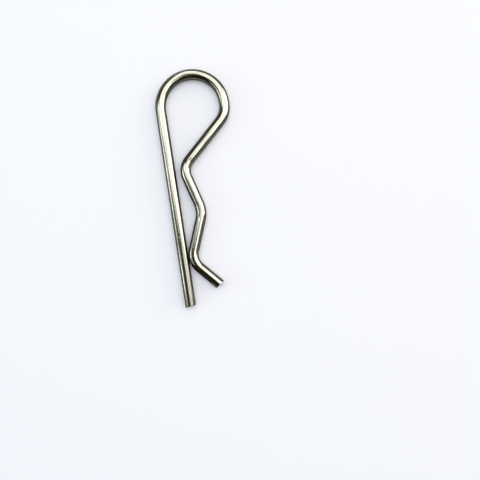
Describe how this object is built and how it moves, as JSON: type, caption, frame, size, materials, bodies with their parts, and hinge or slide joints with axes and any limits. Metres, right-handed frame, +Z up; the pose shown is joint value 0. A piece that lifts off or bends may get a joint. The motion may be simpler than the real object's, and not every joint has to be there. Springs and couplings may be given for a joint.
{
  "type": "hitch r clip pin",
  "caption": "Spring wire R clip with a straight leg, a round head loop and a waved leg that grips a shaft and ends in a flared tip.",
  "frame": {"origin": "on the surface the clip lies on, under the middle of its outline", "axes": "+Z up, across the wire; +Y along the straight leg towards the head loop; +X from the straight leg towards the waved leg"},
  "size_m": [0.0284, 0.09, 0.004],
  "materials": {
    "spring_wire": "polished"
  },
  "bodies": {
    "root": {"r_clip": "spring_wire"}
  },
  "joints": []
}
